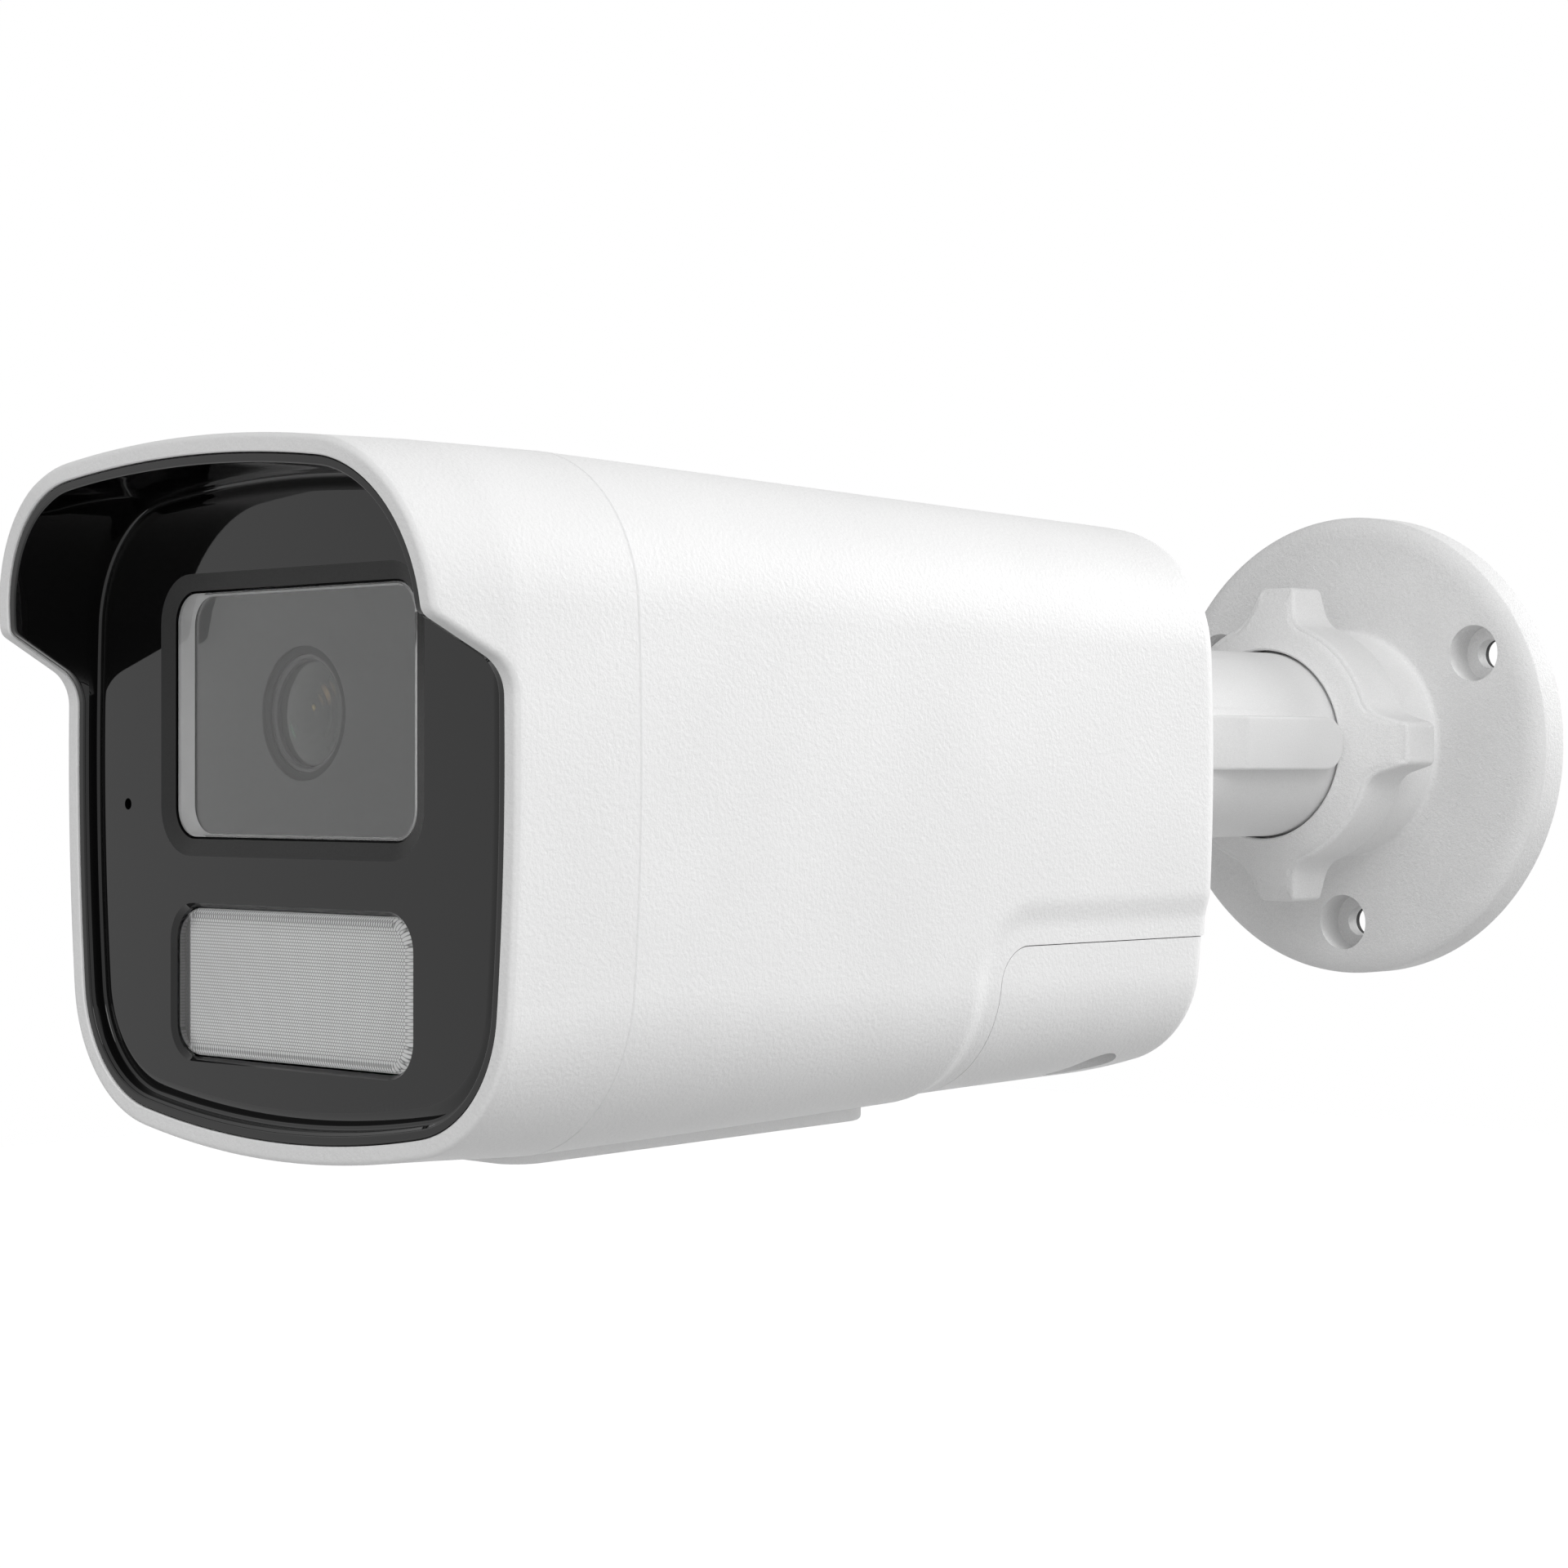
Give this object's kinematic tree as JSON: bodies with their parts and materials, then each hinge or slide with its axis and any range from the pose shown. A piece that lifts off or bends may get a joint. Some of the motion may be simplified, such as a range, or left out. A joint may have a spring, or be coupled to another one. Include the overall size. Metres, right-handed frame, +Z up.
{
  "type": "security camera",
  "caption": "Bullet security camera with a hooded face, lens and light windows, a service hatch and a round wall bracket that pans, tilts and turns.",
  "frame": {"origin": "centre of the bracket's wall face, where its gasket meets the wall", "axes": "+Z up, +Y out of the bracket into the wall, -Y the way the camera looks, +X the camera's left as it looks out"},
  "size_m": [0.0788, 0.2128, 0.0794],
  "materials": {
    "shell_white": "satin",
    "bracket_white": "satin",
    "face_black": "satin",
    "black_rubber": "matte",
    "plain_steel": "satin",
    "optical_glass": "gloss",
    "light_diffuser": "satin",
    "circuit_green": "satin",
    "chip_black": "satin",
    "connector_ivory": "satin",
    "heat_sink_aluminium": "satin",
    "chassis_zinc": "satin",
    "reflector_silver": "gloss",
    "fibre_washer": "matte",
    "button_orange": "satin",
    "ribbon_copper": "satin",
    "dark_barrel": "matte"
  },
  "bodies": {
    "wall_base": {"base_plate": "bracket_white", "wall_gasket": "black_rubber"},
    "locking_ring": {"locking_ring": "bracket_white"},
    "pan_knuckle": {"knuckle_arm": "bracket_white", "tilt_bolt": "plain_steel", "tilt_nut": "plain_steel", "friction_washers": "fibre_washer"},
    "tilt_arm": {"tilt_arm": "bracket_white", "swivel_washer": "plain_steel", "swivel_screw": "plain_steel"},
    "filter_slider": {"filter_slider": "dark_barrel", "ir_cut_glass": "optical_glass", "clear_glass": "optical_glass"},
    "reset_button": {"reset_button": "button_orange"},
    "camera": {"body_housing": "shell_white", "hatch_cover": "shell_white", "hatch_gasket": "black_rubber", "hatch_screws": "plain_steel", "swivel_plate": "plain_steel", "swivel_plate_screws": "plain_steel", "cable_grommet": "black_rubber", "front_cover": "shell_white", "front_seal": "black_rubber", "front_bezel": "face_black", "lens_window": "optical_glass", "window_gasket": "black_rubber", "light_window": "light_diffuser", "light_reflector": "reflector_silver", "led_board": "circuit_green", "leds": "connector_ivory", "microphone_boot": "black_rubber", "microphone": "plain_steel", "lens_barrel": "dark_barrel", "front_lens": "optical_glass", "lens_retaining_ring": "dark_barrel", "middle_lens": "optical_glass", "rear_lens": "optical_glass", "lens_shroud": "black_rubber", "lens_holder": "dark_barrel", "filter_housing": "dark_barrel", "filter_motor": "ribbon_copper", "sensor_board": "circuit_green", "image_sensor": "chip_black", "sensor_screws": "plain_steel", "front_chassis": "chassis_zinc", "chassis_screws": "plain_steel", "main_board": "circuit_green", "board_screws": "plain_steel", "processor": "chip_black", "thermal_pad": "fibre_washer", "heat_sink": "heat_sink_aluminium", "memory_chips": "chip_black", "network_transformer": "chip_black", "power_inductors": "chip_black", "ribbon_connectors": "connector_ivory", "sensor_ribbon": "ribbon_copper", "service_board": "circuit_green", "card_socket": "plain_steel", "reset_switch": "plain_steel", "board_connector": "connector_ivory"}
  },
  "joints": [
    {"name": "ring_turn", "type": "hinge", "parent": "wall_base", "child": "locking_ring", "pos_m": [0, -0.0219, 0], "axis": [0, 1, 0], "continuous": true},
    {"name": "pan", "type": "hinge", "parent": "wall_base", "child": "pan_knuckle", "pos_m": [0, -0.0272, 0], "axis": [0, 1, 0], "range_deg": [-180, 180]},
    {"name": "tilt", "type": "hinge", "parent": "pan_knuckle", "child": "tilt_arm", "pos_m": [0, -0.0709, 0], "axis": [1, 0, 0], "range_deg": [0, 90]},
    {"name": "rotate", "type": "hinge", "parent": "tilt_arm", "child": "camera", "pos_m": [0, -0.0847, 0], "axis": [0, 1, 0], "range_deg": [-180, 180]},
    {"name": "filter_shift", "type": "slide", "parent": "camera", "child": "filter_slider", "axis": [1, 0, 0], "range_m": [0, 0.007]},
    {"name": "reset_press", "type": "slide", "parent": "camera", "child": "reset_button", "axis": [0, 0, 1], "range_m": [0, 0.0004], "stiffness_N_per_m": 1500}
  ]
}
